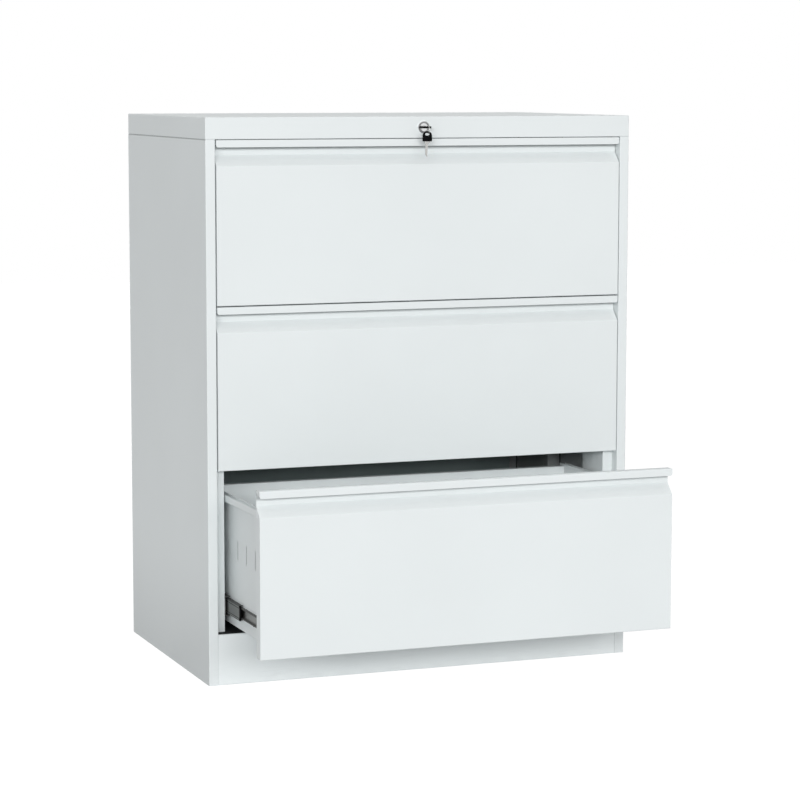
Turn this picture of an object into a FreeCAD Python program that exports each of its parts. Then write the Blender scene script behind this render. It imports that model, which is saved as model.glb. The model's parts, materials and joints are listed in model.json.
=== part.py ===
import FreeCAD, Part
import operator
import os
from types import SimpleNamespace

import Sketcher
from FreeCAD import Placement, Rotation, Vector

# A three-drawer lateral filing cabinet in folded sheet steel, bottom drawer part open.
# Millimetres. Origin on the floor under the middle of the case, +X right, +Y back, +Z up.

# Driving dimensions, as they go into the sheet.
SIZES = {
    # case
    "width": 800.0,
    "depth": 500.0,
    "height": 990.0,
    "skin": 0.8,
    "bend_radius": 0.8,
    "cap_height": 38.0,
    "cap_flange": 15.0,
    "plinth_height": 90.0,
    "plinth_gap": 0.4,
    "plinth_lip": 20.0,
    "plinth_foot": 18.0,
    "base_flange": 20.0,
    "post_width": 17.5,
    "post_return": 21.0,
    "rear_flange": 17.5,
    # uprights that carry the slides
    "upright_lip": 18.5,
    "front_upright_depth": 89.0,
    "rear_upright_setback": 267.5,
    "rear_upright_depth": 20.0,
    "rear_upright_lip": 17.5,
    "rear_upright_foot": 20.0,
    # drawer fronts
    "drawer_gap": 2.0,
    "bottom_drawer_open": 231.0,
    "handle_depth": 18.5,
    "handle_drop": 45.0,
    "lip_height": 12.6,
    "lip_corner": 4.0,
    "liner_gap": 0.5,
    # drawer boxes
    "wall_rise": 12.5,
    "wall_height": 230.5,
    "wall_shortfall": 5.0,
    "wall_flange": 12.0,
    "back_inset": 20.0,
    "back_drop": 4.0,
    "back_flange": 12.0,
    "file_rail_width": 10.0,
    "file_rail_height": 13.0,
    "file_rail_end_gap": 2.0,
    "slot_width": 2.4,
    "slot_height": 34.0,
    "slot_rise": 132.5,
    "slot_first": 115.5,
    "slot_pitch": 50.0,
    # ball slides, sizes across the pair of members from the upright to the drawer
    "slide_thickness": 12.7,
    "slide_rise": 46.0,
    "outer_half": 17.4,
    "outer_gauge": 1.2,
    "outer_reach": 10.0,
    "outer_start": 22.0,
    "outer_length": 400.0,
    "middle_half": 13.0,
    "middle_gauge": 1.0,
    "middle_near": 4.0,
    "middle_far": 11.4,
    "middle_start": 68.0,
    "middle_shortfall": 60.0,
    "inner_half": 9.25,
    "inner_gauge": 1.2,
    "inner_near": 7.0,
    "inner_start": 20.0,
    "inner_shortfall": 30.0,
    "cage_gauge": 0.6,
    "ball_clearance": 0.3,
    "outer_cage_near": 2.4,
    "outer_cage_far": 9.6,
    "outer_cage_start": 128.0,
    "outer_cage_length": 176.0,
    "outer_ball_pitch": 32.0,
    "inner_cage_near": 5.5,
    "inner_cage_far": 10.8,
    "inner_cage_start": 170.0,
    "inner_cage_length": 118.0,
    "inner_ball_pitch": 22.0,
    # screws that hold the slides
    "screw_radius": 2.0,
    "screw_clearance": 0.2,
    "screw_length": 5.0,
    "screw_head_radius": 3.5,
    "screw_head": 0.9,
    "screw_first": 45.0,
    "screw_second": 85.0,
    # lock and keys
    "lock_rise": 19.0,
    "bezel_radius": 10.8,
    "bezel_proud": 2.6,
    "bezel_edge": 0.9,
    "lock_radius": 9.0,
    "lock_length": 19.0,
    "lock_hole_clearance": 0.3,
    "nut_radius": 12.0,
    "nut_thickness": 4.0,
    "plug_radius": 7.0,
    "plug_clearance": 0.3,
    "plug_recess": 0.3,
    "plug_tail": 3.0,
    "keyway_clearance": 0.3,
    "cam_gauge": 2.0,
    "cam_hub": 7.5,
    "cam_arm": 12.0,
    "cam_arm_width": 8.0,
    "pin_radius": 2.0,
    "pin_clearance": 0.3,
    "cam_lost_motion": 0.4,
    "cam_rise": 3.6,
    "bar_gap": 0.5,
    "blade_half": 3.8,
    "blade_gauge": 2.0,
    "blade_length": 22.0,
    "collar_half": 5.2,
    "collar_gauge": 2.8,
    "collar_length": 2.8,
    "collar_gap": 0.4,
    "head_radius": 8.4,
    "head_length": 17.8,
    "head_gauge": 3.4,
    "eye_radius": 3.0,
    "eye_half": 1.5,
    "eye_web": 2.5,
    "ring_radius": 6.5,
    "ring_wire": 0.6,
    "ring_gap": 0.5,
    # bars that carry the lock's turn to the drawers
    "bar_gauge": 2.0,
    "link_depth": 12.5,
    "link_drop": 1.2,
    "link_left": 24.0,
    "link_end_width": 30.0,
    "link_end_depth": 28.0,
    "link_end_margin": 6.5,
    "link_travel": 16.97,
    "rod_travel": 10.0,
    "rod_width": 12.0,
    "rod_inset": 4.0,
    "rod_pin_rise": 14.5,
    "rod_head": 4.0,
    "rod_foot": 190.0,
    "hook_reach": 8.0,
    "hook_height": 6.0,
    "hook_rise": 146.0,
    "window_margin": 2.5,
    "striker_gauge": 1.5,
    "striker_reach": 10.2,
    "striker_height": 10.0,
    "striker_lift": 3.0,
    "striker_play": 2.5,
    "striker_foot": 17.0,
    "guide_width": 16.0,
    "guide_height": 16.0,
    "guide_depth": 10.2,
    "guide_clearance": 0.3,
    "link_guide_width": 20.0,
    "link_guide_span": 320.0,
}

DRAWERS = ("bottom", "middle", "top")
SLOT_COUNT = 6
OUTER_BALLS = 5
INNER_BALLS = 5
HALF_SLOPE = 0.41421356  # tangent of 22.5 degrees, half of the handle's 45 degree slope
OPERATIONS = {
    "+": operator.add,
    "-": operator.sub,
    "*": operator.mul,
    "/": operator.truediv,
}

os.makedirs("parts", exist_ok=True)
doc = FreeCAD.newDocument("lateral_filing_cabinet")
NODES = {}


class Size:
    """A length that carries its number and the sheet expression it comes from."""

    def __init__(self, number, text):
        self.number = number
        self.text = text

    def join(self, sign, other, swapped=False):
        """Combine with another length or plain number, keeping number and expression together."""
        first, second = self, size_of(other)
        if swapped:
            first, second = second, first
        number = OPERATIONS[sign](first.number, second.number)
        return Size(number, f"({first.text} {sign} {second.text})")

    def __add__(self, other):
        return self.join("+", other)

    def __radd__(self, other):
        return self.join("+", other, swapped=True)

    def __sub__(self, other):
        return self.join("-", other)

    def __rsub__(self, other):
        return self.join("-", other, swapped=True)

    def __mul__(self, other):
        return self.join("*", other)

    def __rmul__(self, other):
        return self.join("*", other, swapped=True)

    def __truediv__(self, other):
        return self.join("/", other)

    def __neg__(self):
        return self.join("*", -1.0)


def size_of(value):
    """A plain number as a length; a length as it is."""
    if isinstance(value, Size):
        return value
    return Size(float(value), f"({float(value)})")


def make_sheet():
    """Write the driving dimensions into the sheet and return them as lengths."""
    sheet = doc.addObject("Spreadsheet::Sheet", "Sizes")
    lengths = SimpleNamespace()
    for row, (alias, number) in enumerate(SIZES.items(), start=1):
        sheet.set(f"A{row}", alias.replace("_", " "))
        sheet.set(f"B{row}", str(number))
        sheet.setAlias(f"B{row}", alias)
        setattr(lengths, alias, Size(number, f"Sizes.{alias}"))
    doc.recompute()
    return lengths


def bind(item, name, size):
    """Tie one property of an object to the sheet."""
    item.setExpression(name, size_of(size).text)


def place(item, at, turn=None):
    """Put an object at a point tied to the sheet, turned if a rotation is given."""
    if turn is not None:
        item.Placement = Placement(Vector(), turn)
    for axis, size in zip("xyz", at):
        bind(item, f".Placement.Base.{axis}", size)
    return item


def node(name, item):
    """Give a finished sub-part its name."""
    item.Label = name
    NODES[name] = item
    return item


def block(name, low, high):
    """A box between two corners."""
    box = doc.addObject("Part::Box", name)
    for side, start, end in zip(("Length", "Width", "Height"), low, high):
        bind(box, side, end - start)
    return place(box, low)


def drum(name, centre, axis, radius, length):
    """A cylinder from its first end along +X, +Y or +Z."""
    item = doc.addObject("Part::Cylinder", name)
    bind(item, "Radius", radius)
    bind(item, "Height", length)
    return place(item, centre, Rotation(Vector(0, 0, 1), axis))


def taper(name, centre, axis, first, second, length):
    """A cone frustum from its first end along an axis."""
    item = doc.addObject("Part::Cone", name)
    bind(item, "Radius1", first)
    bind(item, "Radius2", second)
    bind(item, "Height", length)
    return place(item, centre, Rotation(Vector(0, 0, 1), axis))


def joined(name, items):
    """Several overlapping or touching shapes as one solid."""
    fuse = doc.addObject("Part::MultiFuse", name)
    fuse.Shapes = items
    fuse.Refine = True
    return fuse


def cut(name, base, tools):
    """A shape with others taken out of it."""
    item = doc.addObject("Part::Cut", name)
    item.Base = base
    item.Tool = tools[0] if len(tools) == 1 else joined(name + "_tools", tools)
    item.Refine = True
    return item


def shared(name, first, second):
    """What two shapes have in common."""
    item = doc.addObject("Part::Common", name)
    item.Base = first
    item.Tool = second
    return item


def group(name, items):
    """Separate solids under one name."""
    compound = doc.addObject("Part::Compound", name)
    compound.Links = items
    return compound


def origin_plane(body, role):
    """One of the body's own origin planes."""
    return next(item for item in body.Origin.OriginFeatures if item.Role == role)


def draw(sketch, outline):
    """Draw a closed outline whose every corner is held by two lengths of the sheet."""
    numbers = [(u.number, v.number) for u, v in outline]
    count = len(numbers)
    for index in range(count):
        start = Vector(*numbers[index], 0)
        end = Vector(*numbers[(index + 1) % count], 0)
        sketch.addGeometry(Part.LineSegment(start, end))
    for index in range(count):
        sketch.addConstraint(Sketcher.Constraint("Coincident", index, 2, (index + 1) % count, 1))
    for index, corner in enumerate(outline):
        for kind, size in zip(("DistanceX", "DistanceY"), corner):
            number = sketch.addConstraint(Sketcher.Constraint(kind, -1, 1, index, 1, size.number))
            bind(sketch, f"Constraints[{number}]", size)


def edges_at(shape, plane, corners):
    """Names of the edges that run along the plane's normal through the given corners."""
    first, second = {"XY_Plane": "xy", "YZ_Plane": "yz", "XZ_Plane": "xz"}[plane]
    found = []
    for number, edge in enumerate(shape.Edges, start=1):
        ends = [vertex.Point for vertex in edge.Vertexes]
        for u, v in corners:
            gaps = [abs(getattr(p, first) - u.number) + abs(getattr(p, second) - v.number) for p in ends]
            if max(gaps) < 1e-5:
                found.append(f"Edge{number}")
    return found


def rounded(body, tip, names, radius):
    """Round the named edges of a body's last feature."""
    fillet = body.newObject("PartDesign::Fillet", body.Name + "_round")
    fillet.Base = (tip, names)
    bind(fillet, "Radius", radius)
    doc.recompute()
    return fillet


def folded(name, plane, outline, start, length, outer=(), inner=()):
    """Folded sheet: an outline drawn out along the plane's normal, with its bends rounded."""
    outline = [(size_of(u), size_of(v)) for u, v in outline]
    body = doc.addObject("PartDesign::Body", name)
    sketch = body.newObject("Sketcher::SketchObject", name + "_outline")
    sketch.AttachmentSupport = [(origin_plane(body, plane), "")]
    sketch.MapMode = "FlatFace"
    draw(sketch, outline)
    # the XZ plane's normal points forwards, so its sketch lies at the far end
    bind(sketch, ".AttachmentOffset.Base.z", -(start + length) if plane == "XZ_Plane" else start)
    pad = body.newObject("PartDesign::Pad", name + "_pad")
    pad.Profile = sketch
    bind(pad, "Length", length)
    doc.recompute()
    tip = pad
    for bends, radius in ((outer, S.bend_radius + S.skin), (inner, S.bend_radius)):
        if bends:
            tip = rounded(body, tip, edges_at(tip.Shape, plane, [outline[i] for i in bends]), radius)
    return body


def sheet_tray(name, low, high, flange, holes=()):
    """An upturned tray with its lower edges folded in, all outer edges bent round."""
    corners = [(low[0], low[1]), (high[0], low[1]), (high[0], high[1]), (low[0], high[1])]
    shell = folded(name + "_shell", "XY_Plane", corners, low[2], high[2] - low[2])
    names = [f"Edge{number}" for number in range(1, 13)]
    rounded(shell, shell.Tip, names, S.bend_radius + S.skin)
    inner = block(name + "_hollow", [size + S.skin for size in low], [size - S.skin for size in high])
    mouth_low = (low[0] + flange, low[1] + flange, low[2] - S.skin)
    mouth_high = (high[0] - flange, high[1] - flange, low[2] + 2 * S.skin)
    mouth = block(name + "_mouth", mouth_low, mouth_high)
    return cut(name + "_tray", shell, [inner, mouth, *holes])


S = make_sheet()
FORWARD = Vector(0, -1, 0)
BACKWARD = Vector(0, 1, 0)
SIDEWAYS = Vector(1, 0, 0)

# Places that several sub-parts share.
HALF = S.width / 2
FRONT = -(S.depth / 2)
BACK = S.depth / 2
CAP_BASE = S.height - S.cap_height
CELL = (CAP_BASE - S.plinth_height) / 3
POST_EDGE = HALF - S.post_width
UPRIGHT_FACE = POST_EDGE - S.upright_lip
UPRIGHT_FRONT = FRONT + S.post_return
SIDE_INSIDE = HALF - S.skin
PANEL_BACK = BACK - S.skin
UPRIGHT_TOP = CAP_BASE - S.skin
LOCK_Z = CAP_BASE + S.lock_rise
CAP_UNDERSIDE = S.height - S.skin
CAM_FRONT = FRONT + S.lock_length + S.plug_tail
LINK_FRONT = CAM_FRONT + S.cam_gauge + S.bar_gap
ROD_FRONT = LINK_FRONT + S.bar_gauge + S.bar_gap
ROD_X = UPRIGHT_FACE + S.rod_inset + S.rod_width / 2
WALL_LENGTH = S.outer_length - S.wall_shortfall
MIDDLE_LENGTH = S.outer_length - S.middle_shortfall
INNER_LENGTH = S.outer_length - S.inner_shortfall


def cell_floor(index):
    """Height of one drawer's cell, counted from the bottom."""
    return S.plinth_height + CELL * index


def opened(index, share=1.0):
    """How far a drawer's piece stands forwards in the pose of the photo."""
    return S.bottom_drawer_open * share if index == 0 else size_of(0)


def drawer_place(index, share=1.0):
    """Origin of a drawer's own frame: the front plane, at the floor of its cell."""
    return (0, FRONT - opened(index, share), cell_floor(index))


# Case


def make_cap():
    """Top cap: a plate with four folded rims welded round it, the lock's hole in the front rim."""
    hole = drum(
        "cap_lock_hole",
        (0, FRONT - 1, LOCK_Z),
        BACKWARD,
        S.lock_radius + S.lock_hole_clearance,
        S.skin + 2,
    )
    low = (-HALF, FRONT, CAP_BASE)
    high = (HALF, BACK, S.height)
    pan = sheet_tray("cap", low, high, S.cap_flange, [hole])
    plate_x = HALF - S.cap_flange - S.skin / 4
    plate_y = BACK - S.cap_flange - S.skin / 4
    zones = {
        "plate": (-plate_x, -plate_y, plate_x, plate_y),
        "front_rim": (-plate_x, FRONT - 1, plate_x, -plate_y),
        "rear_rim": (-plate_x, plate_y, plate_x, BACK + 1),
        "left_rim": (-HALF - 1, FRONT - 1, -plate_x, BACK + 1),
        "right_rim": (plate_x, FRONT - 1, HALF + 1, BACK + 1),
    }
    solids = []
    for name, (left, front, right, rear) in zones.items():
        zone = block(f"cap_{name}_zone", (left, front, CAP_BASE - 1), (right, rear, S.height + 1))
        solids.append(shared(f"cap_{name}", pan, zone))
    node("top_cap", group("cap_solids", solids))


def make_top_rail():
    """Channel inside the cap's front band, which stiffens it and takes the lock."""
    front, rear = FRONT + S.skin, FRONT + S.cap_flange
    low, high = CAP_BASE + S.skin, CAP_UNDERSIDE
    outline = [
        (rear, low),
        (front, low),
        (front, high),
        (rear, high),
        (rear, high - S.skin),
        (front + S.skin, high - S.skin),
        (front + S.skin, low + S.skin),
        (rear, low + S.skin),
    ]
    reach = SIDE_INSIDE - S.skin
    channel = folded("top_rail", "YZ_Plane", outline, -reach, 2 * reach, (1, 2), (5, 6))
    hole = drum(
        "rail_lock_hole",
        (0, front - 1, LOCK_Z),
        BACKWARD,
        S.lock_radius + S.lock_hole_clearance,
        S.skin + 2,
    )
    node("top_front_rail", cut("top_rail_cut", channel, [hole]))


def make_side(name, side):
    """Side panel with its folded front post, rear flange and top flange."""
    rear = PANEL_BACK
    inner_post = POST_EDGE + S.skin
    outline = [
        (side * POST_EDGE, UPRIGHT_FRONT),
        (side * POST_EDGE, FRONT),
        (side * HALF, FRONT),
        (side * HALF, rear),
        (side * (HALF - S.rear_flange), rear),
        (side * (HALF - S.rear_flange), rear - S.skin),
        (side * SIDE_INSIDE, rear - S.skin),
        (side * SIDE_INSIDE, FRONT + S.skin),
        (side * inner_post, FRONT + S.skin),
        (side * inner_post, UPRIGHT_FRONT),
    ]
    panel = folded(name + "_fold", "XY_Plane", outline, size_of(0), CAP_BASE, (1, 2, 3), (6, 7, 8))
    ends = sorted((side * inner_post, side * SIDE_INSIDE), key=lambda size: size.number)
    flange = block(
        name + "_top_flange",
        (ends[0], FRONT + S.skin, UPRIGHT_TOP),
        (ends[1], rear - S.skin, CAP_BASE),
    )
    node(name, joined(name + "_joined", [panel, flange]))


def make_back():
    """Flat back panel, fixed on the side panels' rear flanges."""
    node("back_panel", block("back_sheet", (-HALF, PANEL_BACK, size_of(0)), (HALF, BACK, CAP_BASE)))


def make_base():
    """Base tray that stands on the floor, and the plinth in front of it."""
    low = (-SIDE_INSIDE, UPRIGHT_FRONT, size_of(0))
    high = (SIDE_INSIDE, PANEL_BACK - S.skin, S.plinth_height)
    node("base_tray", sheet_tray("base", low, high, S.base_flange))
    top, rear = S.plinth_height, UPRIGHT_FRONT
    outline = [
        (rear, top),
        (FRONT, top),
        (FRONT, 0),
        (FRONT + S.plinth_foot, 0),
        (FRONT + S.plinth_foot, S.skin),
        (FRONT + S.skin, S.skin),
        (FRONT + S.skin, top - S.skin),
        (rear - S.skin, top - S.skin),
        (rear - S.skin, top - S.plinth_lip),
        (rear, top - S.plinth_lip),
    ]
    reach = POST_EDGE - S.plinth_gap
    node("front_plinth", folded("plinth", "YZ_Plane", outline, -reach, 2 * reach, (0, 1, 2), (5, 6, 7)))


def screw_places():
    """Where each slide is screwed: twice to the front upright, once to the rear one."""
    rear = FRONT + S.rear_upright_setback + S.rear_upright_depth / 2
    return (FRONT + S.screw_first, FRONT + S.screw_second, rear)


def screw_holes(name, side, places):
    """Drill-outs for one side's slide screws, through the outer member and the upright."""
    centre = side * (UPRIGHT_FACE + S.skin)
    reach = S.outer_gauge + 2 * S.skin + 2
    start = centre - reach + S.skin if side > 0 else centre - S.skin
    holes = []
    for index in range(len(DRAWERS)):
        for number, y in enumerate(places):
            at = (start, y, cell_floor(index) + S.slide_rise)
            radius = S.screw_radius + S.screw_clearance
            holes.append(drum(f"{name}_{index}_{number}", at, SIDEWAYS, radius, reach))
    return holes


def hook_windows(name):
    """Openings in the right front upright for the lock rod's hooks."""
    windows = []
    for index in range(len(DRAWERS)):
        base = cell_floor(index) + S.hook_rise
        low = (UPRIGHT_FACE - 1, ROD_FRONT - S.window_margin, base - S.window_margin)
        top = base + S.hook_height + S.rod_travel + S.window_margin
        high = (UPRIGHT_FACE + S.skin + 1, ROD_FRONT + S.bar_gauge + S.window_margin, top)
        windows.append(block(f"{name}_{index}", low, high))
    return windows


def make_front_uprights():
    """Channels behind the posts: slides are screwed to them, the right one hides the lock rod."""
    rear = UPRIGHT_FRONT + S.front_upright_depth
    pieces = []
    for name, side in (("left", -1), ("right", 1)):
        outline = [
            (side * SIDE_INSIDE, UPRIGHT_FRONT),
            (side * UPRIGHT_FACE, UPRIGHT_FRONT),
            (side * UPRIGHT_FACE, rear),
            (side * SIDE_INSIDE, rear),
            (side * SIDE_INSIDE, rear - S.skin),
            (side * (UPRIGHT_FACE + S.skin), rear - S.skin),
            (side * (UPRIGHT_FACE + S.skin), UPRIGHT_FRONT + S.skin),
            (side * SIDE_INSIDE, UPRIGHT_FRONT + S.skin),
        ]
        start, length = S.plinth_height, UPRIGHT_TOP - S.plinth_height
        channel = folded(f"front_upright_{name}", "XY_Plane", outline, start, length, (1, 2), (5, 6))
        tools = screw_holes(f"front_upright_{name}_hole", side, screw_places()[:2])
        if side > 0:
            tools += hook_windows("hook_window")
        pieces.append(cut(f"front_upright_{name}_cut", channel, tools))
    node("front_uprights", group("front_upright_pair", pieces))


def make_rear_uprights():
    """Narrow posts half way back that carry the slides' rear ends."""
    front = FRONT + S.rear_upright_setback
    rear = front + S.rear_upright_depth
    pieces = []
    for name, side in (("left", -1), ("right", 1)):
        lip = side * (UPRIGHT_FACE + S.rear_upright_lip)
        foot_inner = side * (SIDE_INSIDE - S.skin)
        web_inner = side * (UPRIGHT_FACE + S.skin)
        outline = [
            (lip, front),
            (side * UPRIGHT_FACE, front),
            (side * UPRIGHT_FACE, rear),
            (foot_inner, rear),
            (foot_inner, rear + S.rear_upright_foot),
            (side * SIDE_INSIDE, rear + S.rear_upright_foot),
            (side * SIDE_INSIDE, rear - S.skin),
            (web_inner, rear - S.skin),
            (web_inner, front + S.skin),
            (lip, front + S.skin),
        ]
        start, length = S.plinth_height, UPRIGHT_TOP - S.plinth_height
        post = folded(f"rear_upright_{name}", "XY_Plane", outline, start, length, (1, 2, 6), (3, 7, 8))
        tools = screw_holes(f"rear_upright_{name}_hole", side, screw_places()[2:])
        pieces.append(cut(f"rear_upright_{name}_cut", post, tools))
    node("rear_uprights", group("rear_upright_pair", pieces))


# Slides


def channel_outline(side, near, far, half, gauge, web_at_near=True):
    """Section of a slide member: near and far count from the upright towards the drawer."""
    web, tip = (near, far) if web_at_near else (far, near)
    inside = near + gauge if web_at_near else far - gauge
    points = [
        (web, -half),
        (tip, -half),
        (tip, gauge - half),
        (inside, gauge - half),
        (inside, half - gauge),
        (tip, half - gauge),
        (tip, half),
        (web, half),
    ]
    return [(side * (UPRIGHT_FACE - u), v + S.slide_rise) for u, v in points]


def slide_member(name, side, index, start, length, section):
    """One slide member in its drawer's frame."""
    near, far, half, gauge, web_at_near = section
    outline = channel_outline(side, size_of(near), size_of(far), half, gauge, web_at_near)
    label = f"{name}_{DRAWERS[index]}_{'right' if side > 0 else 'left'}"
    return folded(label, "XZ_Plane", outline, start, length)


def make_outer_members():
    """The six slide members that are screwed to the uprights, and their screws."""
    section = (0, S.outer_reach, S.outer_half, S.outer_gauge, True)
    pieces = []
    for side in (-1, 1):
        members = []
        for index in range(len(DRAWERS)):
            member = slide_member("outer", side, index, S.outer_start, S.outer_length, section)
            members.append(place(member, (0, FRONT, cell_floor(index))))
        holes = screw_holes(f"outer_hole_{side + 1}", side, screw_places())
        for index, member in enumerate(members):
            drills = holes[3 * index : 3 * index + 3]
            pieces.append(cut(f"outer_cut_{side + 1}_{index}", member, drills))
    node("slide_outer_members", group("outer_members", pieces))
    make_slide_screws()


def make_slide_screws():
    """Flat-headed screws through the outer members into the uprights."""
    screws = []
    for side in (-1, 1):
        axis = SIDEWAYS * side
        for index in range(len(DRAWERS)):
            for number, y in enumerate(screw_places()):
                name = f"screw_{side + 1}_{index}_{number}"
                seat = side * (UPRIGHT_FACE - S.outer_gauge)
                height = cell_floor(index) + S.slide_rise
                shank = drum(name + "_shank", (seat, y, height), axis, S.screw_radius, S.screw_length)
                start = seat - side * S.screw_head
                head = drum(name + "_head", (start, y, height), axis, S.screw_head_radius, S.screw_head)
                screws.append(joined(name, [shank, head]))
    node("slide_screws", group("slide_screw_set", screws))


def make_cage(name, side, index, near, far, height, ball, start, length, pitch, balls):
    """A ball cage: a thin channel with a row of balls in each of its two lips."""
    half = height + S.cage_gauge / 2
    outline = channel_outline(side, near, far, half, S.cage_gauge)
    label = f"{name}_{DRAWERS[index]}_{'right' if side > 0 else 'left'}"
    pieces = [folded(label, "XZ_Plane", outline, start, length)]
    middle = side * (UPRIGHT_FACE - (near + far + S.cage_gauge) / 2)
    for row in (-1, 1):
        for number in range(balls):
            sphere = doc.addObject("Part::Sphere", f"{label}_ball")
            bind(sphere, "Radius", ball)
            along = start + length / 2 + pitch * (number - (balls - 1) / 2)
            pieces.append(place(sphere, (middle, along, S.slide_rise + height * row)))
    return joined(label + "_joined", pieces)


def make_moving_slides(index):
    """A drawer's middle members and its two pairs of ball cages."""
    drawer = DRAWERS[index]
    section = (S.middle_near, S.middle_far, S.middle_half, S.middle_gauge, True)
    outer_race = S.outer_half - S.outer_gauge
    middle_race = S.middle_half - S.middle_gauge
    outer_ball = (outer_race - S.middle_half) / 2 - S.ball_clearance
    inner_ball = (middle_race - S.inner_half) / 2 - S.ball_clearance
    middles, outer_cages, inner_cages = [], [], []
    for side in (-1, 1):
        middles.append(slide_member("middle", side, index, S.middle_start, MIDDLE_LENGTH, section))
        outer_cages.append(
            make_cage(
                "outer_cage",
                side,
                index,
                S.outer_cage_near,
                S.outer_cage_far,
                (outer_race + S.middle_half) / 2,
                outer_ball,
                S.outer_cage_start,
                S.outer_cage_length,
                S.outer_ball_pitch,
                OUTER_BALLS,
            )
        )
        inner_cages.append(
            make_cage(
                "inner_cage",
                side,
                index,
                S.inner_cage_near,
                S.inner_cage_far,
                (middle_race + S.inner_half) / 2,
                inner_ball,
                S.inner_cage_start,
                S.inner_cage_length,
                S.inner_ball_pitch,
                INNER_BALLS,
            )
        )
    for name, pieces, share in (
        (f"{drawer}_slide_middles", middles, 0.5),
        (f"{drawer}_outer_ball_cages", outer_cages, 0.25),
        (f"{drawer}_inner_ball_cages", inner_cages, 0.75),
    ):
        node(name, place(group(name + "_pair", pieces), drawer_place(index, share)))


# Drawers


def make_front(index):
    """Drawer front: one folded pan with the full-width grip along its top."""
    drawer = DRAWERS[index]
    half = POST_EDGE - S.drawer_gap
    low, high = S.drawer_gap / 2, CELL - S.drawer_gap / 2
    foot = high - S.handle_drop
    head = foot + S.handle_depth
    deep = S.handle_depth
    corner = S.skin * HALF_SLOPE
    outline = [
        (deep, low),
        (0, low),
        (0, foot),
        (deep, head),
        (deep, high - S.skin),
        (S.skin, high - S.skin),
        (S.skin, high - S.lip_height),
        (0, high - S.lip_height),
        (0, high),
        (deep + S.skin, high),
        (deep + S.skin, head - corner),
        (S.skin, foot - corner),
        (S.skin, low + S.skin),
        (deep, low + S.skin),
    ]
    name = f"{drawer}_front"
    pan = folded(name + "_pan", "YZ_Plane", outline, -half, 2 * half, (1, 2, 8, 9, 10), (3, 4, 5, 11, 12))
    tip = pan.Tip
    corners = [(-half, high - S.lip_height), (half, high - S.lip_height)]
    rounded(pan, tip, edges_at(tip.Shape, "XZ_Plane", corners), S.lip_corner)
    ends = [(0, low), (deep, low), (deep, head - corner), (0, foot - corner)]
    left = folded(name + "_left_end", "YZ_Plane", ends, -half, S.skin)
    right = folded(name + "_right_end", "YZ_Plane", ends, half - S.skin, S.skin)
    front = joined(name + "_joined", [pan, left, right])
    node(f"{drawer}_drawer_front", place(front, drawer_place(index)))
    liner_low = (-half, deep, low)
    liner_high = (half, deep + S.skin, head - corner - S.skin - S.liner_gap)
    liner = block(name + "_liner_sheet", liner_low, liner_high)
    moved = group(name + "_liner", [liner])
    node(f"{drawer}_drawer_liner", place(moved, drawer_place(index)))


def wall_slots(name, side):
    """Slots in a drawer wall that dividers hook into."""
    outside = UPRIGHT_FACE - S.slide_thickness
    slots = []
    for number in range(SLOT_COUNT):
        y = S.slot_first + S.slot_pitch * number
        ends = sorted((side * (outside + 1), side * (outside - S.skin - 1)), key=lambda size: size.number)
        low = (ends[0], y - S.slot_width / 2, S.slot_rise)
        high = (ends[1], y + S.slot_width / 2, S.slot_rise + S.slot_height)
        slots.append(block(f"{name}_slot_{number}", low, high))
    return slots


def make_box(index):
    """Drawer box: two slotted walls, their file rails, a bottom and a back."""
    drawer = DRAWERS[index]
    at = drawer_place(index)
    outside = UPRIGHT_FACE - S.slide_thickness
    inside = outside - S.skin
    start = S.handle_depth + S.skin
    floor = S.wall_rise + S.skin
    top = S.wall_rise + S.wall_height
    rails = []
    for name, side in (("left", -1), ("right", 1)):
        label = f"{drawer}_{name}_wall"
        outline = [
            (side * outside, S.wall_rise),
            (side * outside, top),
            (side * inside, top),
            (side * inside, floor),
            (side * (inside - S.wall_flange), floor),
            (side * (inside - S.wall_flange), S.wall_rise),
        ]
        sheet = folded(label + "_sheet", "XZ_Plane", outline, start, WALL_LENGTH, (0,), (3,))
        node(f"{drawer}_drawer_{name}_wall", place(cut(label + "_cut", sheet, wall_slots(label, side)), at))
        lip = outside + S.file_rail_width
        shelf = top - S.file_rail_height
        section = [
            (side * outside, top),
            (side * outside, shelf),
            (side * lip, shelf),
            (side * lip, top),
            (side * (lip - S.skin), top),
            (side * (lip - S.skin), shelf + S.skin),
            (side * (outside + S.skin), shelf + S.skin),
            (side * (outside + S.skin), top),
        ]
        rail_length = WALL_LENGTH - 2 * S.file_rail_end_gap
        rail_start = start + S.file_rail_end_gap
        rails.append(folded(label + "_rail", "XZ_Plane", section, rail_start, rail_length, (1, 2), (5, 6)))
    node(f"{drawer}_file_rails", place(group(f"{drawer}_rail_pair", rails), at))
    back = start + WALL_LENGTH - S.back_inset
    edge = inside - S.bend_radius
    bottom = block(f"{drawer}_bottom_sheet", (-edge, start, floor), (edge, back + S.skin, floor + S.skin))
    node(f"{drawer}_drawer_bottom", place(group(f"{drawer}_bottom", [bottom]), at))
    back_top = top - S.back_drop
    back_low = floor + S.skin
    back_outline = [
        (back, back_low),
        (back, back_top),
        (back + S.back_flange, back_top),
        (back + S.back_flange, back_top - S.skin),
        (back + S.skin, back_top - S.skin),
        (back + S.skin, back_low),
    ]
    sheet = folded(f"{drawer}_back_sheet", "YZ_Plane", back_outline, -inside, 2 * inside, (1,), (4,))
    node(f"{drawer}_drawer_back", place(sheet, at))


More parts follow.
